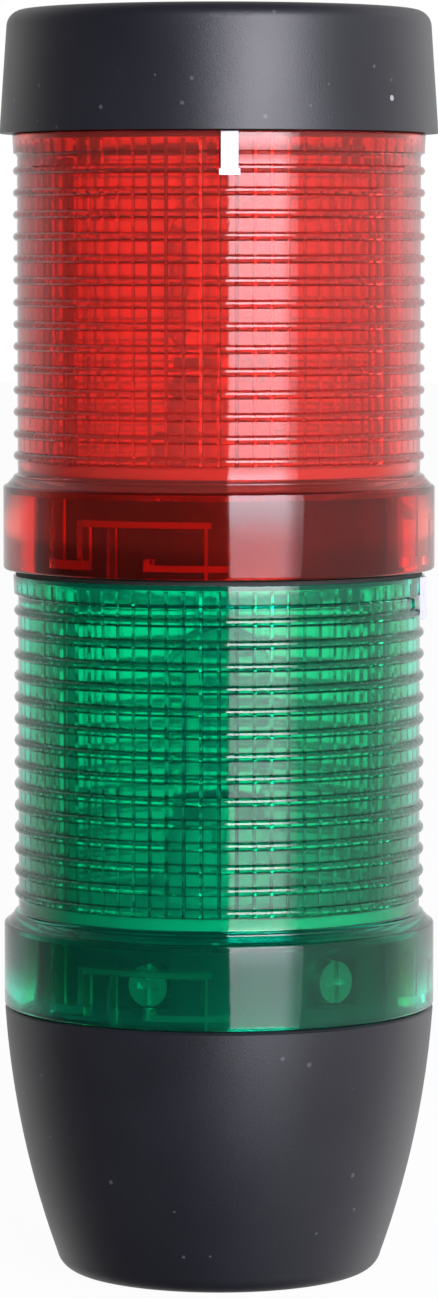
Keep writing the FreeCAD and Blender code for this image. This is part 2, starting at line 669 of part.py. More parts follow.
def lamp_carrier(name, lift):
    """Insulating plate on the lens ledge, with a cup for the lamp socket."""
    body = new_body(name, lift)
    revolve(body, "plate", [
        (0, "carrier_foot"),
        ("plate_radius", "carrier_foot"),
        ("plate_radius", "carrier_face"),
        ("cup_radius", "carrier_face"),
        ("cup_radius", "carrier_face + cup_height"),
        ("socket_radius", "carrier_face + cup_height"),
        ("socket_radius", "carrier_face"),
        (0, "carrier_face"),
    ])
    add_strip_slots(body, "strip_radius", "carrier_face", "carrier_face - carrier_foot + weld")


def coupling(name, lift):
    """Bayonet neck for the next unit: spigot in the lens, flange, wall and top plate."""
    body = new_body(name, lift)
    flange_top = "unit_top + flange_height"
    top = "unit_pitch + neck_top"
    revolve(body, "neck", [
        ("neck_bore", "unit_top - spigot_depth"),
        ("plate_radius", "unit_top - spigot_depth"),
        ("plate_radius", "unit_top"),
        ("flange_radius", "unit_top"),
        ("flange_radius", flange_top),
        ("neck_radius", flange_top),
        ("neck_radius", top),
        ("neck_plate_bore", top),
        ("neck_plate_bore", top + " - neck_plate"),
        ("neck_bore", top + " - neck_plate"),
    ])
    add_strip_slots(body, "riser_radius", top, "neck_plate + weld")
    add_keys(body, flange_top, top)
    add_lugs(body, "unit_pitch")


def conductor(name, lift, number):
    """Bent strip from the foot contact up the lens wall to the contact on the neck."""
    body = new_body(name, lift)
    azimuth = strip_azimuths()[number - 1]
    foot = "neck_top + contact_height + contact_gap"
    top = "unit_pitch + neck_top"
    half = " strip_width / 2"
    sketch = new_sketch(body, "strip_outline", turn=azimuth - 90.0)
    draw_outline(sketch, [
        ("riser_radius - foot_contact_reach", foot),
        ("strip_radius +" + half, foot),
        ("strip_radius +" + half, "strip_bend_top"),
        ("riser_radius +" + half, "strip_bend_top"),
        ("riser_radius +" + half, top + " + contact_height"),
        ("riser_radius - top_contact_reach", top + " + contact_height"),
        ("riser_radius - top_contact_reach", top),
        ("riser_radius -" + half, top),
        ("riser_radius -" + half, "strip_bend_top - strip_width"),
        ("strip_radius -" + half, "strip_bend_top - strip_width"),
        ("strip_radius -" + half, foot + " + foot_contact_height"),
        ("riser_radius - foot_contact_reach", foot + " + foot_contact_height"),
    ])
    pad(body, "strip", sketch, "strip_width", both_ways=True)


def lamp(prefix, lift):
    """Bayonet lamp in its socket: socket sleeve, metal base with two pins, bulb."""
    socket = new_body(prefix + "_lamp_socket", lift)
    sleeve = box_outline("lamp_base_radius + fit", "carrier_face",
                         "socket_radius", "carrier_face + socket_height")
    revolve(socket, "sleeve", sleeve)
    slot_sketch = new_sketch(socket, "pin_slot_outline")
    draw_outline(slot_sketch, box_outline(
        "-pin_slot_width / 2", "carrier_face + pin_slot_foot",
        "pin_slot_width / 2", "carrier_face + socket_height + weld"))
    pocket(socket, "pin_slot", slot_sketch, "2 * cup_radius", both_ways=True)

    metal = new_body(prefix + "_lamp_base", lift)
    base_top = "carrier_face + lamp_base_top"
    revolve(metal, "can", [
        (0, "carrier_face"),
        ("lamp_tip_radius", "carrier_face"),
        ("lamp_tip_radius", "carrier_face + lamp_base_foot"),
        ("lamp_base_radius", "carrier_face + lamp_base_foot"),
        ("lamp_base_radius", base_top),
        (0, base_top),
    ])
    pin_sketch = new_sketch(metal, "pins_outline")
    draw_circle(pin_sketch, 0, "carrier_face + lamp_pin_height", "lamp_pin_radius")
    pad(metal, "pins", pin_sketch, "2 * (lamp_base_radius + lamp_pin_reach)", both_ways=True)

    bulb = new_body(prefix + "_lamp_bulb", lift)
    revolve(bulb, "bulb", [
        (0, base_top),
        ("lamp_base_radius - lamp_glass_neck", base_top),
        ("lamp_glass_radius", "carrier_face + lamp_glass_foot"),
        ("lamp_glass_radius", "carrier_face + lamp_glass_top", "lamp_glass_radius"),
        (0, "carrier_face + lamp_glass_top + lamp_glass_radius"),
    ])


def lens_unit(colour, lift, mark_azimuth):
    """Every piece of one lens unit."""
    lens(colour + "_lens", lift)
    index_mark(colour + "_index_mark", lift, mark_azimuth)
    lamp_carrier(colour + "_lamp_carrier", lift)
    coupling(colour + "_coupling", lift)
    for number in range(1, 7):
        conductor("%s_conductor_%d" % (colour, number), lift, number)
    lamp(colour, lift)


# ---------------------------------------------------------------- cap

def cap(lift):
    """Moulded cap with a drafted side, a rounded edge and the same catches."""
    body = new_body("cap", lift)
    revolve(body, "shell", [
        ("collar_bore", "-cap_drop"),
        ("cap_rim_radius", "-cap_drop"),
        ("cap_shoulder_radius", "cap_height - cap_rounding", "cap_rounding * 1.05"),
        ("cap_shoulder_radius - cap_rounding", "cap_height"),
        (0, "cap_height"),
        (0, "cap_height - cap_top_plate"),
        ("collar_bore - cap_corner", "cap_height - cap_top_plate"),
        ("collar_bore", "cap_height - cap_top_plate - cap_corner"),
    ])
    add_catches(body)


# ---------------------------------------------------------------- assembly

FIRST_FOOT = "unit_foot"
SECOND_FOOT = "unit_foot + unit_pitch"
CAP_FOOT = "unit_foot + 2 * unit_pitch"

base_housing()
clamp_pieces()
terminal_ring()
for place in range(1, 7):
    terminal_screw(place)
    terminal_strip(place)
for place in range(1, 4):
    ring_screw(place)
ring("base_seal", "neck_radius + seal_room", "seat_radius - fit",
     "seat_height + ring_flange", "base_height - seal_room")

lens_unit("green", FIRST_FOOT, dim("green_mark_azimuth"))
lens_unit("red", SECOND_FOOT, dim("red_mark_azimuth"))
ring("green_seal", "flange_radius + seal_room", "lens_tip_radius - edge_break",
     "unit_top", "unit_top + flange_height", FIRST_FOOT)
ring("red_seal", "flange_radius + seal_room", "collar_bore - edge_break",
     "unit_top", "unit_top + flange_height", SECOND_FOOT)
cap(CAP_FOOT)

doc.recompute()
for item in doc.Objects:
    if "Invalid" in item.State or "Error" in item.State:
        raise RuntimeError("%s: %s" % (item.Name, item.State))
for body in bodies:
    if body.Shape.isNull() or not body.Shape.isValid() or len(body.Shape.Solids) != 1:
        raise RuntimeError("%s has no sound solid" % body.Label)

os.makedirs("parts", exist_ok=True)
for body in bodies:
    body.Shape.exportStep("parts/%s.step" % body.Label)
print("%d sub-parts" % len(bodies))
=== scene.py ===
"""Dresses the stack light: clear beaded lenses, satin black housings, small metal parts.

Lengths are in metres, in the frame of the CAD model, and in millimetres where a note
says so.  The front looks along -Y, and an azimuth is an angle in degrees from the
front, growing towards +X.
"""
import json
import math

import bpy
import numpy as np
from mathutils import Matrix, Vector


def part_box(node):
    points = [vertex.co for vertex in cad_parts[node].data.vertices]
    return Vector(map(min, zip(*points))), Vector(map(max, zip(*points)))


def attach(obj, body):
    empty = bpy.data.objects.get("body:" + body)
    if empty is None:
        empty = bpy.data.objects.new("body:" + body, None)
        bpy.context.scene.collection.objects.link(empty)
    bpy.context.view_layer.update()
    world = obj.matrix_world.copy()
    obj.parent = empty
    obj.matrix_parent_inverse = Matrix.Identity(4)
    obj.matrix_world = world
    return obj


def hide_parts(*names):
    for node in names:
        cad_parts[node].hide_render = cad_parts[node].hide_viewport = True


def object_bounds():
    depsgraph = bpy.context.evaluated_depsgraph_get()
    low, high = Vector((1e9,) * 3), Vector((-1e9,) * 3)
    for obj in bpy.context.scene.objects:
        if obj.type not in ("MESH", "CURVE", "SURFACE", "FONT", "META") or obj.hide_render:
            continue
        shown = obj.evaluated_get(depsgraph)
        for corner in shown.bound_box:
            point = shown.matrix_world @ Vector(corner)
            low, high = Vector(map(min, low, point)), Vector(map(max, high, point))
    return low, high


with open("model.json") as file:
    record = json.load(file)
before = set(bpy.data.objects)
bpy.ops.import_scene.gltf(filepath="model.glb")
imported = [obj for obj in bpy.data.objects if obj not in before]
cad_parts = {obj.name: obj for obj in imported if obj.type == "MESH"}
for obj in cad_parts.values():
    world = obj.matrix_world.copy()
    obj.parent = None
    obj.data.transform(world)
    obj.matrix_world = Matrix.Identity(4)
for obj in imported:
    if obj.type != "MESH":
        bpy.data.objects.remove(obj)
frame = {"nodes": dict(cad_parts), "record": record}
cad_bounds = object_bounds()

MM = 0.001
UNITS = ("green", "red")

# One lens unit in millimetres: radii from its axis, heights from the foot of its collar.
TIP, ROOT, BORE = 33.4, 32.6, 30.8            # smooth bands, wall between beads, inside
COLLAR, COLLAR_BORE = 35.0, 32.4              # collar, outside and inside
CATCH, LEDGE_BORE = 30.4, 29.6                # inner face of the catches, carrier ledge
COLLAR_TOP, UNIT_TOP = 13.7, 70.1
BEADS, BEAD_PITCH, FIRST_BEAD, BEAD_RADIUS = 14, 3.53, 18.37, 0.72
BEADS_FROM = (FIRST_BEAD - 1.5, FIRST_BEAD - 1.2)     # heights where the beads set in
BEADS_TO = (UNIT_TOP - 4.6, UNIT_TOP - 4.3)           # and where they end

# Upright ribs inside a lens: their step and half width in degrees, how far they stand
# off the wall and at which heights they set in and end in millimetres.
RIBS = 71
RIB_STEP = 360 / RIBS
RIB_HALF_WIDTH = 0.6
RIB_HEIGHT = 0.5
RIBS_FROM = (COLLAR_TOP + 3.8, COLLAR_TOP + 4.0)
RIBS_TO = (UNIT_TOP - 1.3, UNIT_TOP - 1.1)

# Walls of one bayonet catch inside a collar: first and last azimuth, foot and top in
# millimetres.  Every collar has the catch three times.
CATCH_WALLS = [
    (-53, -51, 1.3, 12.0), (-53, -40, 1.3, 2.7), (-42, -40, 1.3, 9.0),
    (-42, -2, 8.0, 9.0), (-32, -31, 0.3, 9.0), (-4, -3, 0.3, 9.0),
    (-21, 3, 1.3, 2.3), (-21, -19, 1.3, 3.2),
]
CATCH_TURNS = (0, 120, 240)

# Azimuths of the mesh columns of a lens: over each inner rib, between the ribs, and
# where the walls of the catches start and end.
RIB_COLUMNS = (0, RIB_HALF_WIDTH, 1.55, 2.5, 3.5, RIB_STEP - RIB_HALF_WIDTH)
AZIMUTHS = sorted(
    {round(RIB_STEP * number + step, 3) for number in range(RIBS) for step in RIB_COLUMNS}
    | {(edge + turn) % 360 for wall in CATCH_WALLS for edge in wall[:2]
       for turn in CATCH_TURNS})
COLUMNS = len(AZIMUTHS)

SHARP_ANGLE = 25.0            # degrees between two faces, above which their edge is sharp


# ---------------------------------------------------------------- shader nodes

class Wiring:
    """Short ways to add and join the nodes of one tree."""

    def __init__(self, tree):
        self.tree = tree

    def add(self, kind, **settings):
        """A new node with the given settings."""
        node = self.tree.nodes.new(kind)
        for name, value in settings.items():
            setattr(node, name, value)
        return node

    def group(self, tree, **values):
        """A new node for a shared group, with values for its named sockets."""
        node = self.add("ShaderNodeGroup", node_tree=tree)
        for name, value in values.items():
            node.inputs[name].default_value = value
        return node

    def join(self, source, target):
        """A link from an output to an input."""
        self.tree.links.new(source, target)

    def feed(self, socket, value):
        """Gives an input a plain value, or links it to another node's output."""
        if isinstance(value, (int, float, tuple)):
            socket.default_value = value
        else:
            self.join(value, socket)

    def math(self, operation, *values):
        """The result of one operation on values or sockets."""
        node = self.add("ShaderNodeMath", operation=operation)
        for socket, value in zip(node.inputs, values):
            self.feed(socket, value)
        return node.outputs[0]

    def times(self, first, second):
        """The product of two values or sockets."""
        return self.math("MULTIPLY", first, second)

    def larger(self, first, second):
        """The larger of two values or sockets."""
        return self.math("MAXIMUM", first, second)

    def ramp(self, value, start, finish, low, high):
        """A smooth change from low to high while a value goes from start to finish."""
        node = self.add("ShaderNodeMapRange", interpolation_type="SMOOTHSTEP")
        self.join(value, node.inputs["Value"])
        for name, number in (("From Min", start), ("From Max", finish),
                             ("To Min", low), ("To Max", high)):
            node.inputs[name].default_value = number
        return node.outputs["Result"]

    def wrap(self, value, step):
        """How far a value lies from the nearest multiple of a step, either way."""
        return self.math("WRAP", value, self.times(step, 0.5), self.times(step, -0.5))

    def mix(self, share, first, second):
        """Two values or sockets blended by a share."""
        node = self.add("ShaderNodeMix", data_type="FLOAT")
        self.feed(node.inputs[0], share)
        self.feed(node.inputs[2], first)
        self.feed(node.inputs[3], second)
        return node.outputs[0]

    def mix_colour(self, share, first, second):
        """Two colours, plain or from sockets, blended by a share."""
        node = self.add("ShaderNodeMix", data_type="RGBA")
        self.feed(node.inputs[0], share)
        self.feed(node.inputs[6], first)
        self.feed(node.inputs[7], second)
        return node.outputs[2]


def new_group(name, inputs, outputs):
    """A node group of number sockets: its wiring, its input node and its output node."""
    tree = bpy.data.node_groups.new(name, "ShaderNodeTree")
    for label, value in inputs.items():
        socket = tree.interface.new_socket(label, in_out="INPUT",
                                           socket_type="NodeSocketFloat")
        socket.default_value = value
    for label in outputs:
        tree.interface.new_socket(label, in_out="OUTPUT", socket_type="NodeSocketFloat")
    wiring = Wiring(tree)
    return wiring, wiring.add("NodeGroupInput"), wiring.add("NodeGroupOutput")


def grain_group():
    """Fine moulded grain: a height and a small change of roughness."""
    mottle_scale = 55.0
    wiring, inside, result = new_group("moulded_grain", {"Scale": 1800.0, "Detail": 3.0},
                                       ["Height", "Variation"])
    place = wiring.add("ShaderNodeTexCoord")
    grain = wiring.add("ShaderNodeTexNoise")
    wiring.join(place.outputs["Object"], grain.inputs["Vector"])
    wiring.join(inside.outputs["Scale"], grain.inputs["Scale"])
    wiring.join(inside.outputs["Detail"], grain.inputs["Detail"])
    mottle = wiring.add("ShaderNodeTexNoise")
    wiring.join(place.outputs["Object"], mottle.inputs["Vector"])
    mottle.inputs["Scale"].default_value = mottle_scale
    wiring.join(grain.outputs["Fac"], result.inputs["Height"])
    wiring.join(mottle.outputs["Fac"], result.inputs["Variation"])
    return wiring.tree


def dust_group():
    """Specks of dust in a share of the cells of a pattern, each of its own size."""
    wiring, inside, result = new_group(
        "dust_specks", {"Scale": 120.0, "Share": 0.01, "Size": 0.1}, ["Speck"])
    place = wiring.add("ShaderNodeTexCoord")
    cells = wiring.add("ShaderNodeTexVoronoi")
    wiring.join(place.outputs["Object"], cells.inputs["Vector"])
    wiring.join(inside.outputs["Scale"], cells.inputs["Scale"])
    parts = wiring.add("ShaderNodeSeparateColor")
    wiring.join(cells.outputs["Color"], parts.inputs[0])
    chosen = wiring.math("LESS_THAN", parts.outputs[0], inside.outputs["Share"])
    size = wiring.times(parts.outputs[1], inside.outputs["Size"])
    near = wiring.math("LESS_THAN", cells.outputs["Distance"], size)
    wiring.join(wiring.times(chosen, near), result.inputs["Speck"])
    return wiring.tree


def painted_shade_lines_group():
    """Where the beads, their edges and the inner ribs of a lens are, as masks for the
    painted shade of a lens.
    """
    blur, rib_blur, overlap = 0.15, 0.1, 0.05
    edge_widths = (0.08, 0.22)
    wiring, inside, result = new_group(
        "painted_shade_lines",
        {"Bead Pitch": BEAD_PITCH, "First Bead": FIRST_BEAD, "Rib Step": RIB_STEP},
        ["Bead", "Bead Edge", "Rib", "Outside"])
    place = wiring.add("ShaderNodeTexCoord")
    parts = wiring.add("ShaderNodeSeparateXYZ")
    wiring.join(place.outputs["Object"], parts.inputs[0])
    across, along, up = parts.outputs
    height = wiring.times(up, 1 / MM)

    # Rings of beads on the outside.
    from_first = wiring.math("SUBTRACT", height, inside.outputs["First Bead"])
    off_bead = wiring.wrap(from_first, inside.outputs["Bead Pitch"])
    off_bead = wiring.math("ABSOLUTE", off_bead)
    off_edge = wiring.math("ABSOLUTE", wiring.math("SUBTRACT", off_bead, BEAD_RADIUS))
    beaded = wiring.times(wiring.ramp(height, *BEADS_FROM, 0, 1),
                          wiring.ramp(height, *BEADS_TO, 1, 0))
    bead = wiring.ramp(off_bead, BEAD_RADIUS - blur, BEAD_RADIUS + overlap, 1, 0)
    edge = wiring.ramp(off_edge, *edge_widths, 1, 0)
    wiring.join(wiring.times(bead, beaded), result.inputs["Bead"])
    wiring.join(wiring.times(edge, beaded), result.inputs["Bead Edge"])

    # Upright ribs on the inside.
    azimuth = wiring.math("ARCTAN2", across, wiring.times(along, -1.0))
    degrees = wiring.times(azimuth, 180 / math.pi)
    off_rib = wiring.math("ABSOLUTE", wiring.wrap(degrees, inside.outputs["Rib Step"]))
    ribbed = wiring.times(wiring.ramp(height, *RIBS_FROM, 0, 1),
                          wiring.ramp(height, *RIBS_TO, 1, 0))
    rib = wiring.ramp(off_rib, RIB_HALF_WIDTH - rib_blur, RIB_HALF_WIDTH + overlap, 1, 0)
    wiring.join(wiring.times(rib, ribbed), result.inputs["Rib"])

    # The outer skin lies beyond the middle of the wall.
    middle = 0.5 * (ROOT + BORE) * MM
    flat = wiring.add("ShaderNodeCombineXYZ")
    wiring.join(across, flat.inputs[0])
    wiring.join(along, flat.inputs[1])
    radius = wiring.add("ShaderNodeVectorMath", operation="LENGTH")
    wiring.join(flat.outputs[0], radius.inputs[0])
    wiring.join(wiring.math("GREATER_THAN", radius.outputs["Value"], middle),
                result.inputs["Outside"])
    return wiring.tree


GRAIN = grain_group()
DUST = dust_group()
# Masks for the painted shade in the beads and ribs of the lenses.
SHADE_LINES = painted_shade_lines_group()


# ---------------------------------------------------------------- materials

def new_material(name):
    """A node material, its Principled shader and its wiring."""
    material = bpy.data.materials.new(name)
    material.use_nodes = True
    shader = material.node_tree.nodes["Principled BSDF"]
    return material, shader, Wiring(material.node_tree)


def vary_roughness(wiring, shader, grain, smoothest, spread):
    """Roughness that wanders with the mottling of the grain."""
    rough = wiring.math("MULTIPLY_ADD", grain.outputs["Variation"], spread, smoothest)
    wiring.join(rough, shader.inputs["Roughness"])


def raise_grain(wiring, shader, grain, strength, depth):
    """Small bumps that follow the height of the grain."""
    bump = wiring.add("ShaderNodeBump")
    bump.inputs["Strength"].default_value = strength
    bump.inputs["Distance"].default_value = depth
    wiring.join(grain.outputs["Height"], bump.inputs["Height"])
    wiring.join(bump.outputs["Normal"], shader.inputs["Normal"])


def black_plastic():
    """Satin black housing plastic: fine grain, faint mottling and a little dust."""
    dark, less_dark = (0.009, 0.009, 0.013, 1.0), (0.018, 0.018, 0.025, 1.0)
    dust = (0.45, 0.45, 0.47, 1.0)
    large_cover, small_cover = 0.7, 0.12
    material, shader, wiring = new_material("satin_black_plastic")
    grain = wiring.group(GRAIN, Scale=5500.0)
    large = wiring.group(DUST, Scale=110.0, Share=0.03, Size=0.11)
    small = wiring.group(DUST, Scale=700.0, Share=0.05, Size=0.3)
    specks = wiring.larger(wiring.times(large.outputs["Speck"], large_cover),
                           wiring.times(small.outputs["Speck"], small_cover))
    mottled = wiring.mix_colour(grain.outputs["Variation"], dark, less_dark)
    wiring.join(wiring.mix_colour(specks, mottled, dust), shader.inputs["Base Color"])
    shader.inputs["IOR"].default_value = 1.5
    shader.inputs["Specular IOR Level"].default_value = 0.55
    vary_roughness(wiring, shader, grain, smoothest=0.33, spread=0.12)
    raise_grain(wiring, shader, grain, strength=0.6, depth=0.00006)
    return material


def lens_plastic(name, colour, shaded, pale, clearness):
    """Clear coloured plastic: painted shade in the beads and ribs, a painted pale
    reflection where seen edge-on.
    """
    bead_shade, bead_edge_shade, rib_shade = 0.93, 0.75, 0.5
    most_edge_reflection = 0.5
    edge_on_share = 0.2       # of the shading is left where the plastic is seen edge-on
    material, shader, wiring = new_material(name)
    lines = wiring.group(SHADE_LINES)
    outside = lines.outputs["Outside"]
    backfacing = wiring.add("ShaderNodeNewGeometry").outputs["Backfacing"]
    facing = wiring.add("ShaderNodeLayerWeight").outputs["Facing"]

    # Painted shade: beads darkened where light leaves through them, their edges where
    # light enters, and the inner ribs.
    leaving = wiring.times(wiring.times(backfacing, outside), bead_shade)
    entering = wiring.times(wiring.math("GREATER_THAN", outside, backfacing),
                            bead_edge_shade)
    inner = wiring.times(wiring.math("SUBTRACT", 1.0, outside), rib_shade)
    shade = wiring.larger(wiring.times(lines.outputs["Bead"], leaving),
                          wiring.times(lines.outputs["Bead Edge"], entering))
    shade = wiring.larger(shade, wiring.times(lines.outputs["Rib"], inner))
    shade = wiring.times(shade, wiring.ramp(facing, 0.5, 0.9, 1.0, edge_on_share))
    # Painted reflection: the colour turns pale where the plastic is seen edge-on, standing
    # in for the light surroundings mirrored there.
    edge_reflection = wiring.ramp(facing, 0.35, 0.95, 0.0, most_edge_reflection)
    tint = wiring.mix_colour(edge_reflection, colour, pale)
    wiring.join(wiring.mix_colour(shade, tint, shaded), shader.inputs["Base Color"])

    shader.inputs["Transmission Weight"].default_value = clearness
    shader.inputs["Metallic"].default_value = 0.0
    shader.inputs["IOR"].default_value = 1.49
    grain = wiring.group(GRAIN, Scale=900.0)
    vary_roughness(wiring, shader, grain, smoothest=0.03, spread=0.06)
    raise_grain(wiring, shader, grain, strength=0.1, depth=0.00005)
    return material


def plain_material(name, colour, roughness, metallic=0.0, transmission=0.0, ior=1.5):
    """A simple finish with the shared mottling in its roughness."""
    material, shader, wiring = new_material(name)
    shader.inputs["Base Color"].default_value = colour
    shader.inputs["Metallic"].default_value = metallic
    shader.inputs["Transmission Weight"].default_value = transmission
    shader.inputs["IOR"].default_value = ior
    vary_roughness(wiring, shader, wiring.group(GRAIN), smoothest=roughness, spread=0.1)
    return material


# One material to each material slot of the CAD model.
MATERIALS = {
    "black_plastic": black_plastic(),
    "white_mark": plain_material("white_mark_plastic", (0.68, 0.68, 0.72, 1.0), 0.35),
    "carrier_plastic": plain_material("white_carrier_plastic", (0.78, 0.78, 0.76, 1.0),
                                      0.45),
    "seal_rubber": plain_material("seal_rubber", (0.02, 0.02, 0.02, 1.0), 0.6),
    "brass": plain_material("nickelled_brass", (0.5, 0.47, 0.4, 1.0), 0.35,
                            metallic=1.0),
    "plated_steel": plain_material("plated_steel", (0.6, 0.6, 0.6, 1.0), 0.3,
                                   metallic=1.0),
    "lamp_glass": plain_material("lamp_glass", (0.95, 0.95, 0.93, 1.0), 0.02,
                                 transmission=1.0, ior=1.04),
}

# Colour, painted shade in beads and ribs, painted reflection edge-on, and clearness: for
# the lens itself, for its collar, and for the inner faces of the catch walls, which are
# made less clear to paint the light that they gather.
RED, GREEN = (1.0, 0.13, 0.1, 1.0), (0.0, 0.84, 0.5, 1.0)
PAINTED_SHADE_RED, PAINTED_SHADE_GREEN = (1.0, 0.06, 0.04, 1.0), (0.0, 0.07, 0.045, 1.0)
EDGE_REFLECTION_RED, EDGE_REFLECTION_GREEN = (1.0, 0.5, 0.5, 1.0), (0.35, 0.82, 0.78, 1.0)
COLLAR_RED, CATCH_RED = (1.0, 0.08, 0.05, 1.0), (1.0, 0.06, 0.03, 1.0)
CATCH_GREEN = (0.02, 0.5, 0.3, 1.0)
LENS_FINISHES = {
    "red": [
        lens_plastic("clear_red_plastic", RED, PAINTED_SHADE_RED, EDGE_REFLECTION_RED, 0.87),
        lens_plastic("clear_red_collar", COLLAR_RED, RED, EDGE_REFLECTION_RED, 0.98),
        # Painted light: a less clear copy of the plastic, so that the catch faces read as
        # lit.
        lens_plastic("red_catch_face", CATCH_RED, RED, EDGE_REFLECTION_RED, 0.4),
    ],
    "green": [
        lens_plastic("clear_green_plastic", GREEN, PAINTED_SHADE_GREEN, EDGE_REFLECTION_GREEN, 0.96),
        lens_plastic("clear_green_collar", GREEN, GREEN, EDGE_REFLECTION_GREEN, 0.975),
        # Painted light: a less clear copy of the plastic, so that the catch faces read as
        # lit.
        lens_plastic("green_catch_face", CATCH_GREEN, GREEN, EDGE_REFLECTION_GREEN, 0.6),
    ],
}
for colour, finishes in LENS_FINISHES.items():
    MATERIALS[colour + "_lens"] = finishes[0]


# ---------------------------------------------------------------- lens mouldings

def make_object(name, points, faces, material):
    """A smooth-shaded mesh with sharp edges where its faces turn sharply."""
    mesh = bpy.data.meshes.new(name)
    mesh.from_pydata(points, [], faces)
    mesh.update()
    mesh.shade_smooth()
    mesh.set_sharp_from_angle(angle=math.radians(SHARP_ANGLE))
    mesh.materials.append(material)
    piece = bpy.data.objects.new(name, mesh)
    bpy.context.scene.collection.objects.link(piece)
    return piece


def arc(centre, radius, first, last, steps):
    """Points of an arc in the (radius, height) plane, angles in degrees."""
    angles = np.radians(np.linspace(first, last, steps + 1))
    return [(centre[0] + radius * math.cos(a), centre[1] + radius * math.sin(a))
            for a in angles]


def ring(radii, angles, height):
    """Points of one mesh row, for radii and a height in millimetres."""
    return list(zip(radii * MM * np.cos(angles), radii * MM * np.sin(angles),
                    np.full(COLUMNS, height * MM)))


def lens_profile():
    """Outside of a lens unit from its foot to its top, as (radius, height) in mm."""
    collar_round, band_round, root_round, lip_round = 0.5, 0.5, 0.4, 0.2
    foot_band, neck, top_band = COLLAR_TOP + 1.2, COLLAR_TOP + 2.1, UNIT_TOP - 3.8
    rim = COLLAR - collar_round
    points = arc((rim, collar_round), collar_round, -90, 0, 4)
    points += arc((rim, COLLAR_TOP - collar_round), collar_round, 0, 90, 4)
    points += arc((TIP - band_round, foot_band), band_round, 0, 60, 3)
    points += arc((ROOT + root_round, neck), root_round, 225, 180, 2)
    for number in range(BEADS):
        middle = FIRST_BEAD + number * BEAD_PITCH
        points += arc((ROOT, middle), BEAD_RADIUS, -86, 86, 6)
    points += arc((TIP, top_band), TIP - ROOT, 180, 100, 4)
    points += arc((TIP - lip_round, UNIT_TOP - lip_round), lip_round, 0, 90, 3)
    return points


def inner_profile():
    """Inside of a lens unit, downwards, as (radius, height, share of the ribs)."""
    ledge_top, ledge_foot = COLLAR_TOP + 1.5, COLLAR_TOP - 0.7
    collar_roof, chamfer = COLLAR_TOP - 1.5, 1.0
    return [
        (BORE, UNIT_TOP, 0), (BORE, RIBS_TO[1], 0), (BORE, RIBS_TO[0], 1),
        (BORE, RIBS_FROM[1], 1), (BORE, RIBS_FROM[0], 0),
        (BORE, ledge_top, 0), (LEDGE_BORE, ledge_top, 0),
        (LEDGE_BORE, ledge_foot, 0), (COLLAR_BORE - chamfer, ledge_foot, 0),
        (COLLAR_BORE, collar_roof, 0),
    ]


def lens_mesh():
    """Points of the whole moulding, and the faces of its lens, collar and catches."""
    rows = [(radius, height, 0) for radius, height in lens_profile()] + inner_profile()
    azimuths = np.array(AZIMUTHS)
    angles = np.radians(azimuths - 90.0)
    off_rib = np.abs((azimuths + RIB_STEP / 2) % RIB_STEP - RIB_STEP / 2)
    swell = RIB_HEIGHT * np.maximum(0.0, 1.0 - off_rib / RIB_HALF_WIDTH)
    points = []
    for radius, height, share in rows:
        points += ring(radius - share * swell, angles, height)
    lens_faces, collar_faces = [], []
    for row in range(len(rows) - 1):
        above = min(rows[row][1], rows[row + 1][1]) >= COLLAR_TOP
        faces = lens_faces if above else collar_faces
        for column in range(COLUMNS):
            right = (column + 1) % COLUMNS
            faces.append((row * COLUMNS + column, row * COLUMNS + right,
                          (row + 1) * COLUMNS + right, (row + 1) * COLUMNS + column))
    bore_points, bore_faces, catch_faces = catch_relief(
        angles, first=len(points), upper=(len(rows) - 1) * COLUMNS)
    return points + bore_points, lens_faces, collar_faces + bore_faces, catch_faces


def catch_relief(angles, first, upper):
    """Collar bore with its raised catches, down to the moulding's first row of points.

    The numbers of its own points start at first, and upper is the first point of the
    row that it hangs from.
    """
    levels = sorted({0.0} | {z for wall in CATCH_WALLS for z in wall[2:]}, reverse=True)
    raised = np.zeros((len(levels) - 1, COLUMNS), dtype=bool)
    for start, finish, foot, top in CATCH_WALLS:
        for turn in CATCH_TURNS:
            columns = [number for number, azimuth in enumerate(AZIMUTHS)
                       if (azimuth - start - turn) % 360 < finish - start]
            for level in range(len(levels) - 1):
                if foot <= levels[level + 1] and levels[level] <= top:
                    raised[level, columns] = True
    points = []
    for height in levels:
        for radius in (COLLAR_BORE, CATCH):
            points += ring(radius, angles, height)

    def corner(level, layer, column):
        """A point of the bore (layer 0) or of the catches' inner faces (layer 1)."""
        return first + (2 * level + layer) * COLUMNS + column % COLUMNS

    faces, catch_faces = [], []
    last = len(levels) - 1
    for column in range(COLUMNS):
        faces.append((upper + column, upper + (column + 1) % COLUMNS,
                      corner(0, 0, column + 1), corner(0, 0, column)))
        faces.append((corner(last, 0, column), corner(last, 0, column + 1),
                      (column + 1) % COLUMNS, column))
        for level in range(last):
            layer = int(raised[level, column])
            kind = catch_faces if layer else faces
            kind.append((corner(level, layer, column), corner(level, layer, column + 1),
                         corner(level + 1, layer, column + 1),
                         corner(level + 1, layer, column)))
            # Flanks between a catch and the bore beside it, then above or below it.
            before = raised[level, column - 1]
            if layer and not before:
                faces.append((corner(level, 0, column), corner(level, 1, column),
                              corner(level + 1, 1, column), corner(level + 1, 0, column)))
            if before and not layer:
                faces.append((corner(level, 1, column), corner(level, 0, column),
                              corner(level + 1, 0, column), corner(level + 1, 1, column)))
            above = level > 0 and raised[level - 1, column]
            if layer and not above:
                faces.append((corner(level, 0, column), corner(level, 0, column + 1),
                              corner(level, 1, column + 1), corner(level, 1, column)))
            if above and not layer:
                faces.append((corner(level, 1, column), corner(level, 1, column + 1),
                              corner(level, 0, column + 1), corner(level, 0, column)))
    return points, faces, catch_faces


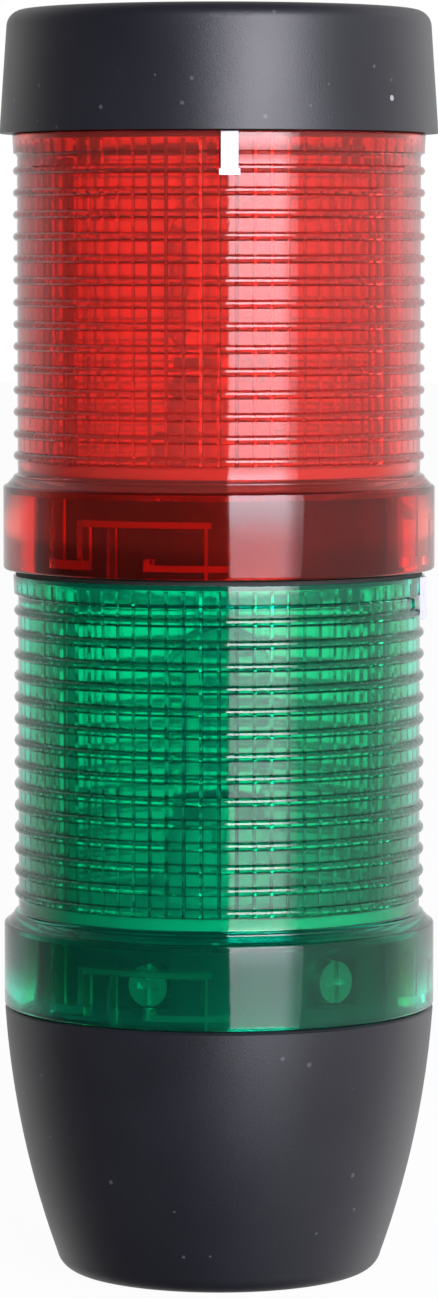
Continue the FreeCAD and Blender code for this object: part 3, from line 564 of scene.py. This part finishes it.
def dress_lenses():
    """A detailed moulding in place of each plain lens."""
    points, lens_faces, collar_faces, catch_faces = lens_mesh()
    faces = lens_faces + collar_faces + catch_faces
    kinds = [0] * len(lens_faces) + [1] * len(collar_faces) + [2] * len(catch_faces)
    for colour in UNITS:
        node = colour + "_lens"
        finishes = LENS_FINISHES[colour]
        piece = make_object(node + "_moulding", points, faces, finishes[0])
        for finish in finishes[1:]:
            piece.data.materials.append(finish)
        piece.data.polygons.foreach_set("material_index", kinds)
        piece.location.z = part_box(node)[0].z
        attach(piece, colour + "_unit")
        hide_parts(node)


def dress_nodes():
    """Every carried-over CAD piece takes the material of its slot."""
    slots = {part["node"]: part["material_slot"] for part in frame["record"]["subparts"]}
    for name, node in frame["nodes"].items():
        node.data.materials.clear()
        node.data.materials.append(MATERIALS[slots[name]])


# ---------------------------------------------------------------- studio

def surroundings():
    """A bright backdrop and dimmer surroundings.

    The ramps run over the parts of a direction: across to the right, along to the
    rear, and up.  Levels are parts of white.
    """
    front_level, rear_level, right_level = 0.03, 0.75, 0.6
    ceiling_share = 0.3
    backdrop_edge, side_level = 0.2, 0.75
    steep_share = 0.1
    trapped_share = 0.35      # of the room's light, for what is mirrored within a lens

    world = bpy.data.worlds.new("studio")
    bpy.context.scene.world = world
    world.use_nodes = True
    wiring = Wiring(world.node_tree)
    wiring.tree.nodes.clear()
    path = wiring.add("ShaderNodeLightPath")
    through = path.outputs["Is Transmission Ray"]
    place = wiring.add("ShaderNodeTexCoord")
    parts = wiring.add("ShaderNodeSeparateXYZ")
    wiring.join(place.outputs["Generated"], parts.inputs[0])
    across, along, up = parts.outputs
    steep = wiring.math("ABSOLUTE", up)

    # What surfaces mirror: dark towards the front, light behind, a dim ceiling.
    behind = wiring.ramp(along, 0.0, 0.7, front_level, rear_level)
    right = wiring.ramp(across, 0.2, 0.8, 0.0, right_level)
    room = wiring.times(wiring.math("ADD", behind, right),
                        wiring.ramp(steep, 0.4, 1.0, 1.0, ceiling_share))
    trapped = wiring.times(room, trapped_share)

    # What shows straight through the lenses: the backdrop, lit up to a certain height.
    backdrop = wiring.times(wiring.ramp(along, 0.74, 0.92, backdrop_edge, 1.0),
                            wiring.ramp(steep, 0.2, 0.42, 1.0, steep_share))
    sides = wiring.times(wiring.ramp(along, 0.4, 0.6, side_level, 0.0),
                         wiring.ramp(along, -0.4, 0.0, 0.0, 1.0))
    sides = wiring.times(sides, wiring.ramp(steep, 0.5, 0.9, 1.0, steep_share))
    backdrop = wiring.larger(backdrop, sides)

    unmirrored = wiring.math("LESS_THAN", path.outputs["Glossy Depth"], 0.5)
    seen = wiring.mix(wiring.times(through, unmirrored),
                      wiring.mix(through, room, trapped), backdrop)
    background = wiring.add("ShaderNodeBackground")
    background.inputs["Color"].default_value = (1.0, 1.0, 1.0, 1.0)
    wiring.join(wiring.mix(path.outputs["Is Camera Ray"], seen, 1.0),
                background.inputs["Strength"])
    output = wiring.add("ShaderNodeOutputWorld")
    wiring.join(background.outputs["Background"], output.inputs["Surface"])


def key_panel():
    """A large soft panel right of the camera, which faces the middle of the object."""
    width, height, distance = 1.08, 1.6, 1.5
    azimuth, elevation = math.radians(25.0), math.radians(6.0)
    left_level, right_level = 1.1, 0.3
    lower_level, upper_level = 0.8, 2.4
    light = bpy.data.lights.new("key_panel", "AREA")
    light.shape = "RECTANGLE"
    light.size = width
    light.size_y = height
    light.energy = 25.0
    light.color = (0.98, 0.97, 1.08)
    light.use_nodes = True

    # Even up to its left edge, fading towards its right one, and stronger higher up.
    wiring = Wiring(light.node_tree)
    spot = wiring.add("ShaderNodeNewGeometry")
    parts = wiring.add("ShaderNodeSeparateXYZ")
    wiring.join(spot.outputs["Parametric"], parts.inputs[0])
    aside = wiring.ramp(parts.outputs[0], 0.7, 0.95, left_level, right_level)
    higher = wiring.ramp(parts.outputs[1], 0.3, 0.6, lower_level, upper_level)
    wiring.join(wiring.times(aside, higher),
                wiring.tree.nodes["Emission"].inputs["Strength"])

    panel = bpy.data.objects.new("key_panel", light)
    outward = Vector((math.sin(azimuth) * math.cos(elevation),
                      -math.cos(azimuth) * math.cos(elevation), math.sin(elevation)))
    panel.location = (cad_bounds[0] + cad_bounds[1]) / 2 + outward * distance
    panel.rotation_mode = "QUATERNION"
    panel.rotation_quaternion = outward.to_track_quat("Z", "Y")
    bpy.context.scene.collection.objects.link(panel)


def floor():
    """A pale floor that keeps a soft shadow and reads as white; seen through a lens it
    carries painted shade near the object.
    """
    reach = 6.0
    # The dark tone seen through the lenses is painted shade.
    tone, painted_shade_through = 0.9, 0.08        # plain, and as seen through the lenses
    # Between these distances the painted shade seen through a lens gives way to white.
    near, far = 0.25, 1.2                 # distances where it lights up behind a lens
    white_share = 0.96
    points = [(x * reach, y * reach, 0) for x, y in ((-1, -1), (1, -1), (1, 1), (-1, 1))]
    material, shader, wiring = new_material("pale_floor")
    shader.inputs["Roughness"].default_value = 0.9
    path = wiring.add("ShaderNodeLightPath")
    through = path.outputs["Is Transmission Ray"]
    wiring.join(wiring.mix(through, tone, painted_shade_through), shader.inputs["Base Color"])
    place = wiring.add("ShaderNodeTexCoord")
    away = wiring.add("ShaderNodeVectorMath", operation="LENGTH")
    wiring.join(place.outputs["Object"], away.inputs[0])
    distant = wiring.ramp(away.outputs["Value"], near, far, 0.0, 1.0)
    seen = wiring.larger(path.outputs["Is Camera Ray"], wiring.times(through, distant))
    glow = wiring.add("ShaderNodeEmission")
    mix = wiring.add("ShaderNodeMixShader")
    wiring.join(wiring.times(seen, white_share), mix.inputs[0])
    wiring.join(shader.outputs["BSDF"], mix.inputs[1])
    wiring.join(glow.outputs["Emission"], mix.inputs[2])
    wiring.join(mix.outputs[0], wiring.tree.nodes["Material Output"].inputs["Surface"])
    plate = make_object("studio_floor", points, [(0, 1, 2, 3)], material)
    plate.visible_glossy = False


def camera():
    """The viewing angle: slightly above, straight from the front, a long lens."""
    target = Vector((0.0, 0.0, 0.1014))
    distance, pitch = 0.880, math.radians(4.2)
    lens = bpy.data.cameras.new("camera")
    lens.lens = 150.0
    lens.sensor_width = 36.0
    lens.clip_start = 0.01
    eye = bpy.data.objects.new("camera", lens)
    back = Vector((0.0, -math.cos(pitch), math.sin(pitch)))
    eye.location = target + back * distance
    eye.rotation_mode = "QUATERNION"
    eye.rotation_quaternion = back.to_track_quat("Z", "Y")
    bpy.context.scene.collection.objects.link(eye)
    bpy.context.scene.camera = eye


camera()
surroundings()
key_panel()
floor()
dress_nodes()
dress_lenses()

bpy.context.scene.view_settings.view_transform = "Standard"
